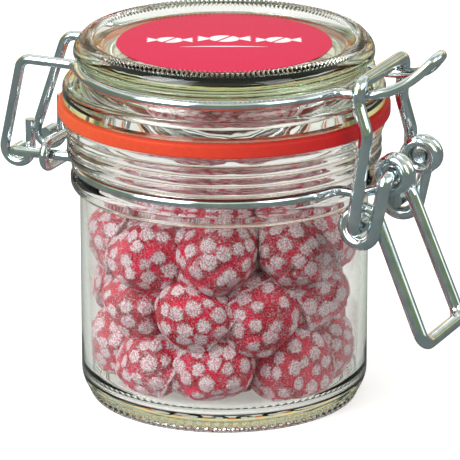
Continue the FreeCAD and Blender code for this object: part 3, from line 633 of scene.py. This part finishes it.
def candy_piece(name, places, shape, sizes, subdivisions, mat, rng):
    """The candies of one shape at their places, joined into one piece, seams facing outward."""
    sphere, faces = unit_sphere(subdivisions)
    verts, polys, marks = [], [], []
    for place in places:
        outward = np.array([place[0], place[1], 0.0]) / math.hypot(*place[:2])
        way = outward + SEAM_TILT * unit_vectors(1, rng)[0]
        points, own_marks = berry(sphere, shape, rng, CANDY * rng.uniform(*sizes), way)
        polys.append(faces + sum(len(v) for v in verts))
        verts.append(kept_inside(points + np.array(place)) * MM)
        marks.append(own_marks)
    verts = np.concatenate(verts)
    piece = make_piece(name, verts.tolist(), np.concatenate(polys).tolist(), "jar", mat,
                       sharp=None)
    mark_candy(piece, np.concatenate(marks))
    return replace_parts(piece, "candy_heap")


def core_piece(mat):
    """The smaller core that the candies lie over: lumpy red sugar, darkened between them by painted
    shade.
    """
    outline = [
        (0.0, 4.5), (12.0, 4.5), (15.5, 5.5), (17.5, 8.0), (18.0, 12.0), (18.0, 16.0),
        (18.0, 20.0), (18.0, 24.0), (18.0, 28.0), (17.0, 31.0), (14.0, 33.0), (9.0, 34.0),
        (0.0, 34.0),
    ]

    def lumps(r, z, angles):
        wave = np.sin(7 * angles + 0.5 * z) * np.sin(0.55 * z + 3 * angles)
        return r + 1.1 * wave * np.minimum(1.0, r / 15.0), z
    verts, faces = lathe([Vector(point) for point in outline], 96, lumps)
    piece = make_piece("candy_core", verts, faces, "jar", mat, sharp=None)
    # Its marks carry little frost, and mark_candy gives it a strong painted shade.
    mark_candy(piece, np.tile([0.0, 0.1, 0.0], (len(verts), 1)))
    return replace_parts(piece, "candy_heap")


def candies(mat):
    """The heap: outer candies in three shapes, inner ones between them, and the core."""
    rng = np.random.default_rng(11)
    outer, inner = candy_places()
    names = list(KINDS)
    for number, name in enumerate(names):
        places = outer[number::len(names)]
        candy_piece(name, places, KINDS[name], (0.99, 1.09), 6, mat, rng)
    top = INNER + 1
    even = (1.0, 1.0, 1.0)
    candy_piece("candies_inner", inner[-top:], even, (0.97, 1.03), 5, mat, rng)
    candy_piece("candies_under", inner[:-top], even, (0.97, 1.03), 4, mat, rng)
    core_piece(mat)


# ---------------------------------------------------------------- studio

def studio_world():
    """White to the camera; a studio with soft boxes and dark gaps to gloss and glass.

    Each ramp runs over the height of a direction: 0.5 is level, 1 straight up.
    """
    world = bpy.data.worlds.new("studio")
    bpy.context.scene.world = world
    world.use_nodes = True
    tree = world.node_tree
    back = tree.nodes["Background"]
    back.inputs["Strength"].default_value = 1.0
    way = add(tree, "ShaderNodeTexCoord").outputs["Generated"]
    axes = add(tree, "ShaderNodeSeparateXYZ", {0: way})
    rise = math_node(tree, "MULTIPLY_ADD", axes.outputs[2], 0.5, 0.5)
    bearing = math_node(tree, "ARCTAN2", axes.outputs[1], axes.outputs[0])

    def sector(middle, half_width):
        """1 in the part of the room around a bearing, in degrees."""
        off = math_node(tree, "SUBTRACT", bearing, math.radians(middle))
        inside = math.cos(math.radians(half_width))
        return ramp(tree, math_node(tree, "COSINE", off, clamp=True),
                    [(inside - 0.03, 0.0), (inside + 0.03, 1.0)])
    dim = ramp(tree, rise, [
        (0.50, (0.22, 0.27, 0.16, 1.0)), (0.60, (0.17, 0.22, 0.11, 1.0)),
        (0.72, (0.26, 0.32, 0.20, 1.0)), (0.80, (0.95, 0.98, 0.95, 1.0)),
        (0.92, (0.50, 0.55, 0.46, 1.0))])
    window = ramp(tree, rise, [
        (0.53, (0.14, 0.17, 0.11, 1.0)), (0.55, (1.3, 1.4, 1.5, 1.0)),
        (0.78, (1.3, 1.4, 1.5, 1.0)), (0.82, (0.45, 0.49, 0.45, 1.0))])
    pane = ramp(tree, rise, [
        (0.53, (0.14, 0.17, 0.11, 1.0)), (0.56, (6.0, 6.4, 6.6, 1.0)),
        (0.90, (6.0, 6.4, 6.6, 1.0)), (0.93, (0.45, 0.49, 0.45, 1.0))])
    warm = ramp(tree, rise, [
        (0.50, (0.75, 0.74, 0.68, 1.0)), (0.53, (0.75, 0.06, 0.03, 1.0)),
        (0.57, (1.1, 0.72, 0.14, 1.0)), (0.62, (1.1, 1.05, 0.85, 1.0)),
        (0.68, (0.26, 0.30, 0.17, 1.0)), (0.78, (1.0, 1.0, 0.98, 1.0))])
    room = mix_color(tree, sector(-113.0, 19.0), dim, pane)
    room = mix_color(tree, sector(15.0, 16.0), room, window)
    room = mix_color(tree, sector(115.0, 50.0), room, warm)
    light = add(tree, "ShaderNodeLightPath")
    plain = (0.85, 0.85, 0.85, 1.0)
    seen = math_node(tree, "MAXIMUM", light.outputs["Is Glossy Ray"],
                     light.outputs["Is Transmission Ray"])
    color = mix_color(tree, seen, plain, room)
    color = mix_color(tree, light.outputs["Is Camera Ray"], color, (1.0, 1.0, 1.0, 1.0))
    tree.links.new(color, back.inputs["Color"])


def floor():
    """White floor that keeps the jar's shadow; gloss sees the grey-green of a table.

    Through glass it is bright behind and under the jar but dark in front of it, so that what
    the front of the jar mirrors doesn't veil the candies.
    """
    mat, tree, shader = new_material("pale_floor")
    light = add(tree, "ShaderNodeLightPath")
    tone = mix_color(tree, light.outputs["Is Glossy Ray"], (0.93, 0.93, 0.925, 1.0),
                     (0.16, 0.185, 0.18, 1.0))
    place = add(tree, "ShaderNodeSeparateXYZ", {0: object_coordinates(tree)})
    azimuth = math.radians(VIEW_AZIMUTH)
    across = math_node(tree, "MULTIPLY", place.outputs[0], math.sin(azimuth))
    before = math_node(tree, "MULTIPLY_ADD", place.outputs[1], -math.cos(azimuth), across)
    behind = math_node(tree, "MULTIPLY_ADD", before, -40.0, 2.2, clamp=True)
    through = mix_color(tree, behind, (0.06, 0.065, 0.06, 1.0), (0.42, 0.42, 0.41, 1.0))
    tone = mix_color(tree, light.outputs["Is Transmission Ray"], tone, through)
    tree.links.new(tone, shader.inputs["Base Color"])
    shader.inputs["Roughness"].default_value = 0.9
    shader.inputs["Specular IOR Level"].default_value = 0.0
    shader.inputs["Emission Color"].default_value = (1.0, 0.985, 0.95, 1.0)
    glow = math_node(tree, "MULTIPLY", light.outputs["Is Camera Ray"], 0.35)
    lit = math_node(tree, "MULTIPLY", light.outputs["Is Transmission Ray"], behind)
    glow = math_node(tree, "MULTIPLY_ADD", lit, 0.5, glow)
    tree.links.new(glow, shader.inputs["Emission Strength"])
    mesh = bpy.data.meshes.new("floor")
    bm = bmesh.new()
    bmesh.ops.create_grid(bm, x_segments=4, y_segments=4, size=6.0)
    bm.to_mesh(mesh)
    bm.free()
    mesh.materials.append(mat)
    obj = bpy.data.objects.new("floor", mesh)
    bpy.context.scene.collection.objects.link(obj)


def soft_box(name, place, size, power, aim=(0.0, 0.0, 0.04)):
    """A soft lamp turned to the jar, unseen by the camera."""
    lamp = bpy.data.lights.new(name, "AREA")
    lamp.shape = "RECTANGLE"
    lamp.size, lamp.size_y = size
    lamp.energy = power
    obj = bpy.data.objects.new(name, lamp)
    bpy.context.scene.collection.objects.link(obj)
    obj.location = place
    obj.rotation_euler = (Vector(aim) - Vector(place)).to_track_quat("-Z", "Y").to_euler()
    obj.visible_camera = False


def camera():
    """A long lens, so that the jar is seen nearly without perspective."""
    distance = 0.84
    azimuth = math.radians(VIEW_AZIMUTH)
    elevation = math.radians(VIEW_ELEVATION)
    # The aim lies a little below and beside the shoulder, which centres the jar in the frame.
    aim_down = elevation + math.radians(0.6664)
    aim_left = azimuth - math.radians(0.0851)
    data = bpy.data.cameras.new("camera")
    data.lens = 316.2
    data.sensor_width = 36.0
    data.clip_start = 0.01
    obj = bpy.data.objects.new("camera", data)
    bpy.context.scene.collection.objects.link(obj)
    level = distance * math.cos(elevation)
    obj.location = (level * math.sin(azimuth), -level * math.cos(azimuth),
                    SHOULDER * MM + distance * math.sin(elevation))
    way = Vector((-math.cos(aim_down) * math.sin(aim_left), math.cos(aim_down) * math.cos(aim_left),
                  -math.sin(aim_down)))
    obj.rotation_euler = way.to_track_quat("-Z", "Y").to_euler()
    bpy.context.scene.camera = obj


# ---------------------------------------------------------------- everything

jar_mat = glass_material("jar_glass_clear", (0.52, 0.60, 0.49, 1.0), (0.93, 0.95, 0.92, 1.0),
                         (0.62, 0.74, 0.60, 1.0), 14.0, 0.05)
lid_mat = glass_material("lid_glass_clear", (0.60, 0.68, 0.46, 1.0), (0.90, 0.92, 0.86, 1.0),
                         (0.62, 0.76, 0.50, 1.0), 26.0, 0.08)
jar_piece(jar_mat)
lid_piece(lid_mat)
ring_piece(rubber_material())
label_piece(label_material())
motif_piece(print_material())
wire = wire_material()
for node_name in ("neck_wire_near", "neck_wire_far", "arm_link", "lid_wire", "lever_wire",
                  "bail_wire"):
    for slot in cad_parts[node_name].material_slots:
        slot.material = wire
candies(candy_material())

studio_world()
floor()
soft_box("key", (-0.55, -0.75, 0.95), (0.5, 0.7), 6.5)
soft_box("fill", (0.8, -0.3, 0.6), (0.4, 0.6), 2.2)
camera()
bpy.context.scene.view_settings.view_transform = "Standard"
